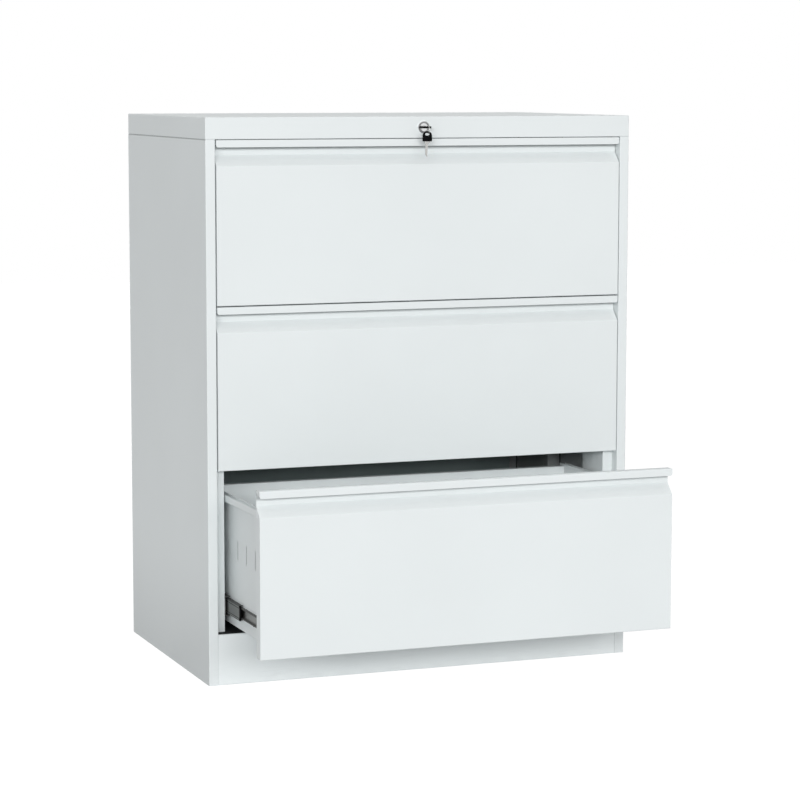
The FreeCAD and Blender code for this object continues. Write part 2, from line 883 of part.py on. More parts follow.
def make_drawer_fittings(index):
    """The slide members on the drawer, and the striker that the lock's hook stops."""
    drawer = DRAWERS[index]
    at = drawer_place(index)
    section = (S.inner_near, S.slide_thickness, S.inner_half, S.inner_gauge, False)
    members = [
        slide_member("inner", side, index, S.inner_start, INNER_LENGTH, section) for side in (-1, 1)
    ]
    node(f"{drawer}_slide_inners", place(group(f"{drawer}_inner_pair", members), at))
    outside = UPRIGHT_FACE - S.slide_thickness
    front = ROD_FRONT + S.bar_gauge + S.striker_play - FRONT
    rear = front + S.striker_gauge
    low = S.hook_rise + S.hook_height + S.striker_lift
    outline = [
        (outside, front),
        (outside + S.striker_reach, front),
        (outside + S.striker_reach, rear),
        (outside + S.striker_gauge, rear),
        (outside + S.striker_gauge, rear + S.striker_foot),
        (outside, rear + S.striker_foot),
    ]
    striker = folded(f"{drawer}_striker_fold", "XY_Plane", outline, low, S.striker_height)
    node(f"{drawer}_striker", place(striker, at))


# Lock, keys and locking bars


def make_lock():
    """Lock in the cap's front band: housing, nut, turning plug and cam."""
    face = FRONT - S.bezel_proud
    bore_radius = S.plug_radius + S.plug_clearance
    edge_radius = S.bezel_radius - S.bezel_edge
    rim = taper("bezel_rim", (0, face, LOCK_Z), BACKWARD, edge_radius, S.bezel_radius, S.bezel_edge)
    rim_depth = S.bezel_proud - S.bezel_edge
    bezel = drum("bezel", (0, face + S.bezel_edge, LOCK_Z), BACKWARD, S.bezel_radius, rim_depth)
    barrel = drum("barrel", (0, FRONT, LOCK_Z), BACKWARD, S.lock_radius, S.lock_length)
    bore = drum("barrel_bore", (0, face - 1, LOCK_Z), BACKWARD, bore_radius, S.lock_length + S.bezel_proud + 2)
    node("lock_housing", cut("housing", joined("housing_body", [rim, bezel, barrel]), [bore]))

    seat = FRONT + 2 * S.skin
    nut = doc.addObject("Part::Prism", "nut_blank")
    nut.Polygon = 6
    bind(nut, "Circumradius", S.nut_radius)
    bind(nut, "Height", S.nut_thickness)
    place(nut, (0, seat, LOCK_Z), Rotation(Vector(0, 0, 1), BACKWARD))
    nut_radius = S.lock_radius + S.lock_hole_clearance
    nut_bore = drum("nut_bore", (0, seat - 1, LOCK_Z), BACKWARD, nut_radius, S.nut_thickness + 2)
    node("lock_nut", cut("nut", nut, [nut_bore]))

    plug_front = face + S.plug_recess
    plug = drum("plug_core", (0, plug_front, LOCK_Z), BACKWARD, S.plug_radius, CAM_FRONT - plug_front)
    half = S.blade_half + S.keyway_clearance
    thick = S.blade_gauge / 2 + S.keyway_clearance
    tip = face - S.collar_gap + S.blade_length + S.keyway_clearance
    keyway = block("keyway", (-half, face - 1, LOCK_Z - thick), (half, tip, LOCK_Z + thick))
    node("lock_plug", cut("plug", plug, [keyway]))
    make_cam()


def make_cam():
    """Cam plate with its drive pin, standing 45 degrees to the left when unlocked, and its screw."""
    hub = drum("cam_hub_disc", (0, 0, 0), Vector(0, 0, 1), S.cam_hub, S.cam_gauge)
    arm_half = S.cam_arm_width / 2
    arm = block("cam_arm_plate", (size_of(0), -arm_half, size_of(0)), (S.cam_arm, arm_half, S.cam_gauge))
    end = drum("cam_arm_end", (S.cam_arm, 0, 0), Vector(0, 0, 1), arm_half, S.cam_gauge)
    reach = S.cam_gauge + S.bar_gap + S.bar_gauge + S.bar_gap / 2
    pin = drum("cam_pin", (S.cam_arm, 0, 0), Vector(0, 0, 1), S.pin_radius, reach)
    cam = joined("cam_joined", [hub, arm, end, pin])
    # local X points up and to the left, local Z to the back
    turn = Rotation(Vector(-1, 0, 1), Vector(), Vector(0, 1, 0), "ZXY")
    node("lock_cam", place(cam, (0, CAM_FRONT, LOCK_Z), turn))
    rear = CAM_FRONT + S.cam_gauge
    head = drum("cam_screw_head", (0, rear, LOCK_Z), BACKWARD, S.screw_head_radius, S.bar_gap + S.bar_gauge)
    node("cam_screw", head)


def make_key(name, at, turn):
    """A key: steel blade with a collar, and a plastic head with an eye. Local +Y runs up the head."""
    straight = S.head_length - S.head_radius
    thick = S.head_gauge / 2
    up = Vector(0, 0, 1)
    plate = block(name + "_head_plate", (-S.head_radius, size_of(0), -thick), (S.head_radius, straight, thick))
    dome = drum(name + "_head_dome", (0, straight, -thick), up, S.head_radius, S.head_gauge)
    eye_y = S.head_length - S.eye_web - S.eye_radius
    deep = S.head_gauge + 2
    eye_low = (-S.eye_half, eye_y - S.eye_radius, -thick - 1)
    eye_high = (S.eye_half, eye_y + S.eye_radius, thick + 1)
    tools = [block(name + "_eye_middle", eye_low, eye_high)]
    for side in (-1, 1):
        end = (side * S.eye_half, eye_y, -thick - 1)
        tools.append(drum(f"{name}_eye_{side + 1}", end, up, S.eye_radius, deep))
    head = cut(name + "_head_cut", joined(name + "_head_body", [plate, dome]), tools)
    node(name + "_head", place(head, at, turn))

    collar_thick = S.collar_gauge / 2
    collar_low = (-S.collar_half, -S.collar_length, -collar_thick)
    collar = block(name + "_collar", collar_low, (S.collar_half, size_of(0), collar_thick))
    end = -S.collar_length - S.blade_length
    notch = S.blade_half
    outline = [
        (-S.blade_half, -S.collar_length),
        (-S.blade_half, end + notch),
        (-S.blade_half / 4, end),
        (S.blade_half / 4, end),
        (S.blade_half, end + notch),
        (S.blade_half, -S.collar_length),
    ]
    blade = folded(name + "_blade_flat", "XY_Plane", outline, -S.blade_gauge / 2, S.blade_gauge)
    steel = joined(name + "_steel", [collar, blade])
    node(name + "_blade", place(steel, at, turn))


def make_keys():
    """The key in the lock and the ring in its eye."""
    base = FRONT - S.bezel_proud - S.collar_gap - S.collar_length
    flat = Rotation(Vector(-1, 0, 0), Vector(0, -1, 0), Vector(0, 0, 1), "ZXY")
    make_key("key", (0, base, LOCK_Z), flat)
    web = base - S.head_length + S.eye_web / 2
    ring_top = LOCK_Z + S.head_gauge / 2 + S.ring_gap + S.ring_wire
    ring = doc.addObject("Part::Torus", "ring_wire_loop")
    bind(ring, "Radius1", S.ring_radius)
    bind(ring, "Radius2", S.ring_wire)
    place(ring, (0, web, ring_top - S.ring_radius), Rotation(Vector(0, 0, 1), SIDEWAYS))
    node("key_ring", ring)


def make_link():
    """Flat bar behind the lock: the cam pushes it sideways, its sloping slot lifts the rod."""
    top = CAP_UNDERSIDE - S.link_drop
    low = top - S.link_depth
    right = ROD_X + S.link_end_margin
    outline = [
        (-S.link_left, low),
        (right - S.link_end_width, low),
        (right - S.link_end_width, top - S.link_end_depth),
        (right, top - S.link_end_depth),
        (right, top),
        (-S.link_left, top),
    ]
    strip = folded("link_strip", "XZ_Plane", outline, LINK_FRONT, S.bar_gauge)
    pin_x = -S.link_travel / 2
    pin_z = LOCK_Z + S.link_travel / 2
    wide = S.pin_radius + S.pin_clearance + S.cam_lost_motion
    tall = S.pin_radius + S.pin_clearance
    slot_low = (pin_x - wide, LINK_FRONT - 1, pin_z - tall)
    slot_high = (pin_x + wide, LINK_FRONT + S.bar_gauge + 1, pin_z + S.cam_rise + tall)
    slot = block("link_cam_slot", slot_low, slot_high)
    # the rod's pin runs up this slope as the link moves right
    half = S.pin_radius + S.pin_clearance
    pin_low = CAP_BASE + S.rod_pin_rise
    slope = S.rod_travel / S.link_travel
    rise = half * 1.2
    end_right = ROD_X + half
    end_left = ROD_X - S.link_travel - half
    drop = half * slope
    ramp_outline = [
        (end_left, pin_low + S.rod_travel + drop - rise),
        (end_right, pin_low - drop - rise),
        (end_right, pin_low - drop + rise),
        (end_left, pin_low + S.rod_travel + drop + rise),
    ]
    ramp = folded("link_ramp", "XZ_Plane", ramp_outline, LINK_FRONT - 1, S.bar_gauge + 2)
    node("lock_link", cut("link", strip, [slot, ramp]))


def make_rod():
    """Flat upright rod in the right front upright with a lifting pin, and a hook for each drawer."""
    pin_z = CAP_BASE + S.rod_pin_rise
    left, right = ROD_X - S.rod_width / 2, ROD_X + S.rod_width / 2
    rear = ROD_FRONT + S.bar_gauge
    bar = block("rod_bar", (left, ROD_FRONT, S.rod_foot), (right, rear, pin_z + S.rod_head))
    reach = S.bar_gap + S.bar_gauge + S.bar_gap / 2
    pin = drum("rod_pin", (ROD_X, ROD_FRONT - reach, pin_z), BACKWARD, S.pin_radius, reach)
    node("lock_rod", group("rod_and_pin", [bar, pin]))
    tip = UPRIGHT_FACE - S.hook_reach
    hooks = []
    for index in range(len(DRAWERS)):
        low = cell_floor(index) + S.hook_rise
        hooks.append(block(f"rod_hook_{index}", (tip, ROD_FRONT, low), (left, rear, low + S.hook_height)))
    node("lock_hooks", group("rod_hooks", hooks))


def make_guides():
    """Plastic blocks that the link and the rod slide through."""
    pieces = []
    half = S.guide_width / 2
    slot_half = S.rod_width / 2 + S.guide_clearance
    front = UPRIGHT_FRONT + S.skin
    for index in range(len(DRAWERS)):
        low = cell_floor(index) + S.hook_rise + S.hook_height + S.rod_travel + S.guide_height
        solid = block(
            f"rod_guide_{index}",
            (ROD_X - half, front, low),
            (ROD_X + half, front + S.guide_depth, low + S.guide_height),
        )
        slot = block(
            f"rod_guide_slot_{index}",
            (ROD_X - slot_half, ROD_FRONT - S.guide_clearance, low - 1),
            (ROD_X + slot_half, ROD_FRONT + S.bar_gauge + S.guide_clearance, low + S.guide_height + 1),
        )
        pieces.append(cut(f"rod_guide_cut_{index}", solid, [slot]))
    top = CAP_UNDERSIDE - S.link_drop + S.guide_clearance
    low = top - S.link_depth - 2 * S.guide_clearance
    reach = S.link_guide_width / 2
    for number in range(2):
        x = S.link_guide_span * (number - 0.25)
        front = LINK_FRONT - S.guide_depth / 2 + S.bar_gauge / 2
        solid = block(
            f"link_guide_{number}",
            (x - reach, front, low - S.bar_gauge),
            (x + reach, front + S.guide_depth, CAP_UNDERSIDE),
        )
        slot = block(
            f"link_guide_slot_{number}",
            (x - reach - 1, LINK_FRONT - S.guide_clearance, low),
            (x + reach + 1, LINK_FRONT + S.bar_gauge + S.guide_clearance, top),
        )
        pieces.append(cut(f"link_guide_cut_{number}", solid, [slot]))
    node("lock_guides", group("lock_guide_set", pieces))


def export():
    """Check every object of the document, then write each sub-part."""
    doc.recompute()
    for item in doc.Objects:
        if {"Invalid", "Error"} & set(item.State):
            raise RuntimeError(f"{item.Label} did not build: {item.State}")
    for name, item in NODES.items():
        shape = item.Shape
        if shape.isNull() or not shape.isValid() or not shape.Solids:
            raise RuntimeError(f"{name} has no valid solid")
        shape.exportStep(f"parts/{name}.step")


make_cap()
make_top_rail()
make_side("left_side_panel", -1)
make_side("right_side_panel", 1)
make_back()
make_base()
make_front_uprights()
make_rear_uprights()
make_outer_members()
for drawer_index in range(len(DRAWERS)):
    make_moving_slides(drawer_index)
    make_front(drawer_index)
    make_box(drawer_index)
    make_drawer_fittings(drawer_index)
make_lock()
make_keys()
make_link()
make_rod()
make_guides()
export()
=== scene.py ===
"""Looks of a three-drawer lateral filing cabinet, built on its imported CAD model."""

import json
import math

import bmesh
import bpy
from bpy.props import FloatProperty, FloatVectorProperty, PointerProperty
from mathutils import Matrix, Vector


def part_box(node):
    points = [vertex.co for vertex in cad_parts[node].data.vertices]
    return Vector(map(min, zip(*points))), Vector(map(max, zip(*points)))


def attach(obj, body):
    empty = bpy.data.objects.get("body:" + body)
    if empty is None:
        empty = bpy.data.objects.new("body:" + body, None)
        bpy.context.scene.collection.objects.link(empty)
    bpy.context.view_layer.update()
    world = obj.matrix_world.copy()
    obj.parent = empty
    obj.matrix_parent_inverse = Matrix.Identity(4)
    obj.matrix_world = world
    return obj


bl_info = {
    "name": "Lateral filing cabinet",
    "version": (1, 0, 0),
    "blender": (4, 5, 0),
    "location": "View3D > Sidebar > Cabinet",
    "description": "Finishes and small fittings of a sheet-steel filing cabinet, with its studio",
    "category": "Object",
}

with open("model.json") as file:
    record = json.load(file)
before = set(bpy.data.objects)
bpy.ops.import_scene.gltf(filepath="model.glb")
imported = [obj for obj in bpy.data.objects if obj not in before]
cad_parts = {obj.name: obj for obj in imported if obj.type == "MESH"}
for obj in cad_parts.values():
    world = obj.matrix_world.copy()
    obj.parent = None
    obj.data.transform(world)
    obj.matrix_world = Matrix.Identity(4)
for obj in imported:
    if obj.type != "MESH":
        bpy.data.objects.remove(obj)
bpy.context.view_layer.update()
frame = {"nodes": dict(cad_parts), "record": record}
NODES = frame["nodes"]
SLOT_OF = {entry["node"]: entry["material_slot"] for entry in frame["record"]["subparts"]}
DRAWERS = ("bottom", "middle", "top")
CASE_NODES = ("left_side_panel", "right_side_panel", "back_panel", "base_tray", "front_plinth")
CASE_NODES += ("front_uprights", "rear_uprights")
MM = 0.001


def middle_height(node):
    """Height of the middle of a node's box."""
    low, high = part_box(node)
    return (low.z + high.z) / 2


# the case, from the cap's and the plinth's boxes
CAP_LOW, CAP_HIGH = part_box("top_cap")
HALF_WIDTH = CAP_HIGH.x
FACE_Y = CAP_LOW.y
BACK_Y = CAP_HIGH.y
CAP_FOOT = CAP_LOW.z
PLINTH_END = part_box("front_plinth")[1].x
PLINTH_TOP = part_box("front_plinth")[1].z
# the drawers: their slides, their fronts and the outside of their walls
SLIDE_Z = middle_height("bottom_slide_middles")
PITCH = middle_height("middle_slide_middles") - SLIDE_Z
FRONT_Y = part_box("top_drawer_front")[0].y
PULLED_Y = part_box("bottom_drawer_front")[0].y
CELL_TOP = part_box("bottom_drawer_front")[1].z + 1.0 * MM
WALL_X = -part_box("bottom_drawer_left_wall")[0].x
# the grip: its depth behind the front, and its lip's foot and its slope below the top of the drawer's cell
GRIP_DEPTH = 18.5 * MM
LIP_FALL = 13.6 * MM
SLOPE_START, SLOPE_END = 25.0 * MM, 48.0 * MM
# slots in the drawers' walls: behind the front, and below the top of the drawer's cell
SLOT_FIRST, SLOT_PITCH = 115.5 * MM, 50.0 * MM
SLOT_FALL = CELL_TOP - 239.5 * MM
# spot welds down both edges of the back
WELD_PITCH, WELD_INSET = 45.0 * MM, 9.5 * MM


# Shader sums


class Shade:
    """A socket in a finish: sums on it add Math nodes, and node() adds any other kind."""

    def __init__(self, tree, socket=None):
        self.tree = tree
        self.socket = socket

    @staticmethod
    def pick(sockets, key):
        """A socket by its place, identifier or name."""
        if isinstance(key, int):
            return sockets[key]
        for socket in sockets:
            if socket.identifier == key:
                return socket
        return sockets[key]

    def node(self, kind, settings=None, sockets=None, output=0):
        """Any node: its settings first, then the values and links of its sockets."""
        made = self.tree.nodes.new(kind)
        for name, value in (settings or {}).items():
            setattr(made, name, value)
        for key, value in (sockets or {}).items():
            socket = self.pick(made.inputs, key)
            if isinstance(value, Shade):
                self.tree.links.new(value.socket, socket)
            else:
                socket.default_value = value
        outputs = made.outputs
        return Shade(self.tree, self.pick(outputs, output) if len(outputs) else None)

    def math(self, operation, *terms):
        """A Math node."""
        return self.node("ShaderNodeMath", {"operation": operation}, dict(enumerate(terms)))

    def __add__(self, other):
        return self.math("ADD", self, other)

    __radd__ = __add__

    def __sub__(self, other):
        return self.math("SUBTRACT", self, other)

    def __rsub__(self, other):
        return self.math("SUBTRACT", other, self)

    def __mul__(self, other):
        return self.math("MULTIPLY", self, other)

    def fade(self, start, end):
        """0 where this is under start, 1 past end, smooth between."""
        sockets = {"Value": self, "From Min": start, "From Max": end}
        return self.node("ShaderNodeMapRange", {"interpolation_type": "SMOOTHSTEP"}, sockets)


class Finish(Shade):
    """A material's node tree with the patterns that this cabinet's finishes share."""

    def __init__(self, name):
        self.material = bpy.data.materials.new(name)
        self.material.use_nodes = True
        super().__init__(self.material.node_tree)
        self.tree.nodes.clear()
        self.place = self.node("ShaderNodeTexCoord", output="Object")

    def axes(self):
        """X, Y and Z of the surface point, in metres."""
        split = self.node("ShaderNodeSeparateXYZ", sockets={"Vector": self.place})
        return [Shade(self.tree, socket) for socket in split.socket.node.outputs]

    def grain(self, size, stretch=(1.0, 1.0, 1.0), detail=2.0, rough=0.5):
        """Noise whose cells are about size metres, drawn out along an axis by its stretch."""
        scale = tuple(1.0 / (size * part) for part in stretch)
        sockets = {"Vector": self.place, "Scale": scale}
        place = self.node("ShaderNodeMapping", {"vector_type": "POINT"}, sockets)
        sockets = {"Vector": place, "Scale": 1.0, "Detail": detail, "Roughness": rough}
        return self.node("ShaderNodeTexNoise", {"normalize": True}, sockets)

    def band(self, value, at, half):
        """1 where a value is within about half of a place, 0 further off."""
        return 1.0 - self.math("ABSOLUTE", value - at).fade(half * 0.6, half)

    def tint(self, first, second, share):
        """One colour going over into another."""
        sockets = {"Factor_Float": share, "A_Color": (*first, 1.0), "B_Color": (*second, 1.0)}
        return self.node("ShaderNodeMix", {"data_type": "RGBA"}, sockets, "Result_Color")

    def blend_tint(self, first, second, share):
        """A colour already varied, going over into a plain one."""
        sockets = {"Factor_Float": share, "A_Color": first, "B_Color": (*second, 1.0)}
        return self.node("ShaderNodeMix", {"data_type": "RGBA"}, sockets, "Result_Color")

    def relief(self, height, depth, strength=1.0, under=None):
        """Bump from a height of 0 to 1 that stands for depth metres."""
        sockets = {"Height": height, "Distance": depth, "Strength": strength}
        if under is not None:
            sockets["Normal"] = under
        return self.node("ShaderNodeBump", None, sockets)

    def surface(self, matt=None, **sockets):
        """The shader, dead matt where matt is 1, and the material's output."""
        names = {key.replace("_", " ").title().replace("Ior", "IOR"): value for key, value in sockets.items()}
        shader = self.node("ShaderNodeBsdfPrincipled", None, names, "BSDF")
        if matt is not None:
            plain = {"Color": sockets["base_color"], "Normal": sockets["normal"]}
            chalk = self.node("ShaderNodeBsdfDiffuse", None, plain)
            shader = self.node("ShaderNodeMixShader", None, {0: matt, 1: shader, 2: chalk})
        self.node("ShaderNodeOutputMaterial", None, {"Surface": shader})
        return self.material


# Sizes and colours a user would change


def share_of(name, description, default):
    """A share from 0 to 1."""
    return FloatProperty(name=name, description=description, default=default, min=0.0, max=1.0)


def tone_of(name, description, default):
    """A colour."""
    return FloatVectorProperty(name=name, description=description, subtype="COLOR", size=3, default=default)


def light_of(name, description, default):
    """How much light a source gives."""
    return FloatProperty(name=name, description=description, default=default, min=0.0)


def size_of(name, description, default):
    """A length."""
    return FloatProperty(name=name, description=description, default=default, unit="LENGTH")


class CabinetPaint(bpy.types.PropertyGroup):
    """Powder coat on the case and drawers, with the shade and light painted into it."""

    colour: FloatVectorProperty(
        name="Paint",
        description="Colour of the powder coat",
        subtype="COLOR",
        size=3,
        min=0.0,
        max=1.0,
        default=(0.79, 0.83, 0.835),
    )
    roughness: FloatProperty(
        name="Roughness", description="How matt the coat is", default=0.5, min=0.0, max=1.0, subtype="FACTOR"
    )
    peel: FloatProperty(
        name="Peel", description="Size of the coat's fine bumps", default=1.7 * MM, min=0.0002, unit="LENGTH"
    )
    # painted shade: the shares of the colour left deep inside the case and on the back's inside
    inside: share_of("Inside", "Share of the colour left deep inside the case", 0.1)
    back: share_of("Back", "Share of the colour left on the back's inside", 0.5)
    # painted shade: the share of the colour left in the groove behind the grips
    groove: share_of("Groove", "Share of the colour left behind the grips", 0.62)
    ripple: FloatProperty(
        name="Ripple", description="Length of the waves in the sheet", default=0.19, min=0.02, unit="LENGTH"
    )


class CabinetMetal(bpy.types.PropertyGroup):
    """Bare and plated metal, and the plastics."""

    zinc: tone_of("Zinc", "Colour of the slides and bars", (0.26, 0.264, 0.256))
    cage: tone_of("Cage", "Colour of the ball cages", (0.22, 0.22, 0.225))
    chrome: tone_of("Chrome", "Colour of the lock face", (0.74, 0.75, 0.76))
    nickel: tone_of("Nickel", "Colour of the keys' steel", (0.46, 0.46, 0.45))
    black: tone_of("Black", "Colour of the keys' heads", (0.004, 0.004, 0.0045))
    nylon: tone_of("Nylon", "Colour of the bar guides", (0.74, 0.74, 0.70))


class CabinetKey(bpy.types.PropertyGroup):
    """The spare key that hangs on the ring."""

    head_width: size_of("Head width", "Across the plastic head", 17.0 * MM)
    head_length: size_of("Head length", "Along the plastic head", 17.6 * MM)
    head_thickness: size_of("Head thickness", "Through the plastic head", 2.6 * MM)
    blade_length: size_of("Blade length", "Steel below the collar", 24.0 * MM)


class CabinetStudio(bpy.types.PropertyGroup):
    """Camera and light."""

    lens: FloatProperty(name="Lens", description="Focal length", default=120.77, unit="CAMERA")
    place: FloatVectorProperty(
        name="Place",
        description="Where the camera stands",
        subtype="TRANSLATION",
        unit="LENGTH",
        size=3,
        default=(-1.7307, -4.6670, 1.0552),
    )
    yaw: FloatProperty(
        name="Yaw", description="Turn to the right", subtype="ANGLE", default=math.radians(20.904)
    )
    pitch: FloatProperty(
        name="Pitch", description="Tilt downwards", subtype="ANGLE", default=math.radians(6.822)
    )
    roll: FloatProperty(
        name="Roll", description="Tilt sideways", subtype="ANGLE", default=math.radians(0.059)
    )
    sky: light_of("Sky", "Light from all round", 0.255)
    front: light_of("Front light", "Power of the wide front light", 2455.0)
    left: light_of("Left light", "Light on the left side", 0.22)
    top: light_of("Top light", "Light on the top", 0.68)


def group(name):
    """One of the scene's groups of values."""
    return getattr(bpy.context.scene, "cabinet_" + name)


# Finishes


def coat(name, front=None):
    """Satin powder coat: for a drawer whose front stands at a Y of front, or else for the case."""
    paint = group("paint")
    finish = Finish(name)
    colour = Vector(paint.colour)
    clouds = finish.grain(0.35, detail=3.0)
    mottle = finish.grain(0.9 * MM, detail=1.0)
    tone = finish.tint(colour * 0.985, colour * 1.012, clouds.fade(0.3, 0.7))
    x, y, z = finish.axes()
    wide = finish.math("ABSOLUTE", x)
    if front is None:
        # painted light: the plinth is coloured lighter than the rest of the case, to lift the shade on it
        plinth_light = 1.0 - wide.fade(PLINTH_END, PLINTH_END + 0.2 * MM)
        plinth_light = plinth_light * (1.0 - z.fade(PLINTH_TOP + 0.2 * MM, PLINTH_TOP + 0.6 * MM))
        plinth_light = plinth_light * (1.0 - y.fade(FACE_Y + 0.3 * MM, FACE_Y + 0.7 * MM))
        tone = finish.blend_tint(tone, colour * 1.055, plinth_light)
    tone = finish.blend_tint(tone, colour * 0.93, mottle.fade(0.55, 0.95) * 0.35)
    # dust and shoe marks along the foot of the case
    scuffs = finish.grain(0.02, (3.0, 3.0, 0.35), 4.0, 0.7).fade(0.52, 0.75)
    foot = scuffs * (1.0 - z.fade(0.004, 0.05)) * 0.16
    tone = finish.blend_tint(tone, colour * 0.72, foot)
    # painted shade: the sides are darker towards the floor
    outside = wide.fade(HALF_WIDTH - 0.8 * MM, HALF_WIDTH - 0.4 * MM)
    tone = finish.blend_tint(tone, colour * 0.8, (1.0 - z.fade(-0.06, 0.24)) * outside)
    if front is None:
        # painted shade: the case is darker deep inside, and the floor under the drawers is painted near black
        within = 1.0 - wide.fade(HALF_WIDTH - 1.2 * MM, HALF_WIDTH - 0.6 * MM)
        within = within * (1.0 - y.fade(BACK_Y - 0.6 * MM, BACK_Y - 0.2 * MM))
        deep = within * y.fade(FACE_Y + 35.0 * MM, FACE_Y + 130.0 * MM)
        tone = finish.blend_tint(tone, colour * 0.62, deep)
        inner_shade_tint = Vector((colour[0] * 0.86, colour[1], colour[2]))
        walls = wide.fade(HALF_WIDTH - 4.0 * MM, HALF_WIDTH - 2.5 * MM)
        tone = finish.blend_tint(tone, inner_shade_tint * paint.inside, deep * walls)
        rear = y.fade(BACK_Y - 1.3 * MM, BACK_Y - 1.0 * MM)
        tone = finish.blend_tint(tone, inner_shade_tint * paint.back, deep * rear)
        under_drawer_shade = within * y.fade(FACE_Y + 3.0 * MM, FACE_Y + 5.0 * MM)
        under_drawer_shade = under_drawer_shade * (1.0 - z.fade(PLINTH_TOP + 0.2 * MM, PLINTH_TOP + 1.2 * MM))
        tone = finish.blend_tint(tone, colour * 0.008, under_drawer_shade * (0.94 + clouds * 0.06))
        matt = finish.math("MAXIMUM", deep, under_drawer_shade)
        # painted shade in the seam under the cap's side bands, and at the plinth's right end
        seam_shade = outside * z.fade(CAP_FOOT - 1.6 * MM, CAP_FOOT - 1.3 * MM)
        tone = finish.blend_tint(tone, colour * 0.6, seam_shade)
        plinth_end_shade = finish.band(x, PLINTH_END - 0.5 * MM, 0.7 * MM)
        plinth_end_shade = plinth_end_shade * (1.0 - z.fade(PLINTH_TOP - 1.5 * MM, PLINTH_TOP - 0.5 * MM))
        plinth_end_shade = plinth_end_shade * (1.0 - y.fade(FACE_Y + 0.3 * MM, FACE_Y + 0.7 * MM))
        tone = finish.blend_tint(tone, colour * 0.74, plinth_end_shade)
    else:
        # painted shade in the groove behind each grip's lip
        depth = y - front
        fall = finish.math("WRAP", CELL_TOP - z, PITCH, 0.0)
        groove = depth.fade(GRIP_DEPTH - 9.5 * MM, GRIP_DEPTH - 1.5 * MM)
        groove = groove * (1.0 - depth.fade(GRIP_DEPTH + 0.4 * MM, GRIP_DEPTH + 0.7 * MM))
        groove = groove * (1.0 - fall.fade(LIP_FALL, LIP_FALL + 6.9 * MM))
        tone = finish.blend_tint(tone, colour * paint.groove, groove)
        # painted light: the grip's slope is coloured lighter
        painted_slope_light = depth.fade(0.0, GRIP_DEPTH - 2.5 * MM)
        painted_slope_light = painted_slope_light * (1.0 - depth.fade(GRIP_DEPTH - 0.5 * MM, GRIP_DEPTH - 0.1 * MM))
        painted_slope_light = painted_slope_light * fall.fade(SLOPE_START, SLOPE_START + 3.0 * MM)
        painted_slope_light = painted_slope_light * (1.0 - fall.fade(SLOPE_END - 2.0 * MM, SLOPE_END))
        tone = finish.blend_tint(tone, colour * 1.07, painted_slope_light)
        # painted shade: the walls are darker beside their slots
        along = finish.math("WRAP", depth - SLOT_FIRST, SLOT_PITCH / 2, -SLOT_PITCH / 2)
        along = finish.math("ABSOLUTE", along)
        rubbed_and_slot_shade = (1.0 - along.fade(2.0 * MM, 3.4 * MM)) * depth.fade(90.0 * MM, 100.0 * MM)
        rubbed_and_slot_shade = rubbed_and_slot_shade * wide.fade(WALL_X - 1.3 * MM, WALL_X - 0.3 * MM)
        rubbed_and_slot_shade = rubbed_and_slot_shade * finish.band(fall, SLOT_FALL, 21.0 * MM)
        tone = finish.blend_tint(tone, colour * 0.55, rubbed_and_slot_shade * 0.8)
        matt = None
    peel = finish.grain(paint.peel, detail=2.0)
    wave = finish.grain(paint.ripple, (1.0, 1.0, 1.6), 1.0)
    # spot welds: shallow dimples down both edges of the back
    along = finish.math("PINGPONG", z, WELD_PITCH) - WELD_PITCH / 2
    across = wide - (HALF_WIDTH - WELD_INSET)
    near = finish.math("SQRT", along * along + across * across)
    weld = (1.0 - near.fade(1.2 * MM, 3.2 * MM)) * y.fade(BACK_Y - 0.8 * MM, BACK_Y - 0.3 * MM)
    sheet = finish.relief(wave, 0.9 * MM, 0.5)
    dimple = finish.relief(1.0 - weld, 0.5 * MM, 0.8, sheet)
    skin = finish.relief(peel, 0.05 * MM, 0.45, dimple)
    rough = paint.roughness - 0.05 + clouds * 0.06 + mottle * 0.05 + foot * 0.5
    return finish.surface(matt, base_color=tone, roughness=rough, normal=skin, specular_ior_level=0.3)


def powder_coat():
    """The coat on the shut drawers, the cap and its rail."""
    return coat("powder_coat", FRONT_Y)


def pulled_coat():
    """The coat on the drawer that stands open."""
    return coat("pulled_coat", PULLED_Y)


def case_coat():
    """The coat on the case, with painted shade inside."""
    return coat("case_coat")


def zinc_plate():
    """Cold-rolled zinc plate: drawn lines along the slide, spangle, dull patches and darker raceways."""
    zinc = Vector(group("metal").zinc)
    finish = Finish("zinc_plate")
    lines = finish.grain(0.35 * MM, (1.0, 90.0, 1.0), 3.0, 0.6)
    spangle = finish.node(
        "ShaderNodeTexVoronoi", {"feature": "F1"}, {"Vector": finish.place, "Scale": 260.0}, "Distance"
    )
    patches = finish.grain(14.0 * MM, (1.0, 3.0, 1.0), 3.0)
    tone = finish.tint(zinc * 0.86, zinc * 1.08, lines)
    dull = (zinc[0] * 0.84, zinc[1] * 0.86, zinc[2] * 0.92)
    tone = finish.blend_tint(tone, dull, patches.fade(0.4, 0.8) * 0.5)
    # the raceways are darker, at the same height in every drawer's slides
    x, _, z = finish.axes()
    off = finish.math("ABSOLUTE", finish.math("WRAP", z - SLIDE_Z, PITCH / 2, -PITCH / 2))
    races = finish.band(off, 8.9 * MM, 1.1 * MM)
    dark_races = finish.math("MAXIMUM", races, off.fade(11.4 * MM, 12.4 * MM))
    dark_races = dark_races * finish.math("ABSOLUTE", x).fade(WALL_X - 13.3 * MM, WALL_X - 9.3 * MM)
    tone = finish.blend_tint(tone, zinc * 0.3, dark_races * 0.8)
    rough = 0.24 + lines * 0.14 + spangle * 0.1 + patches * 0.08 + dark_races * 0.2
    drawn = finish.relief(lines, 0.02 * MM, 0.5)
    return finish.surface(base_color=tone, roughness=rough, metallic=1.0, normal=drawn)


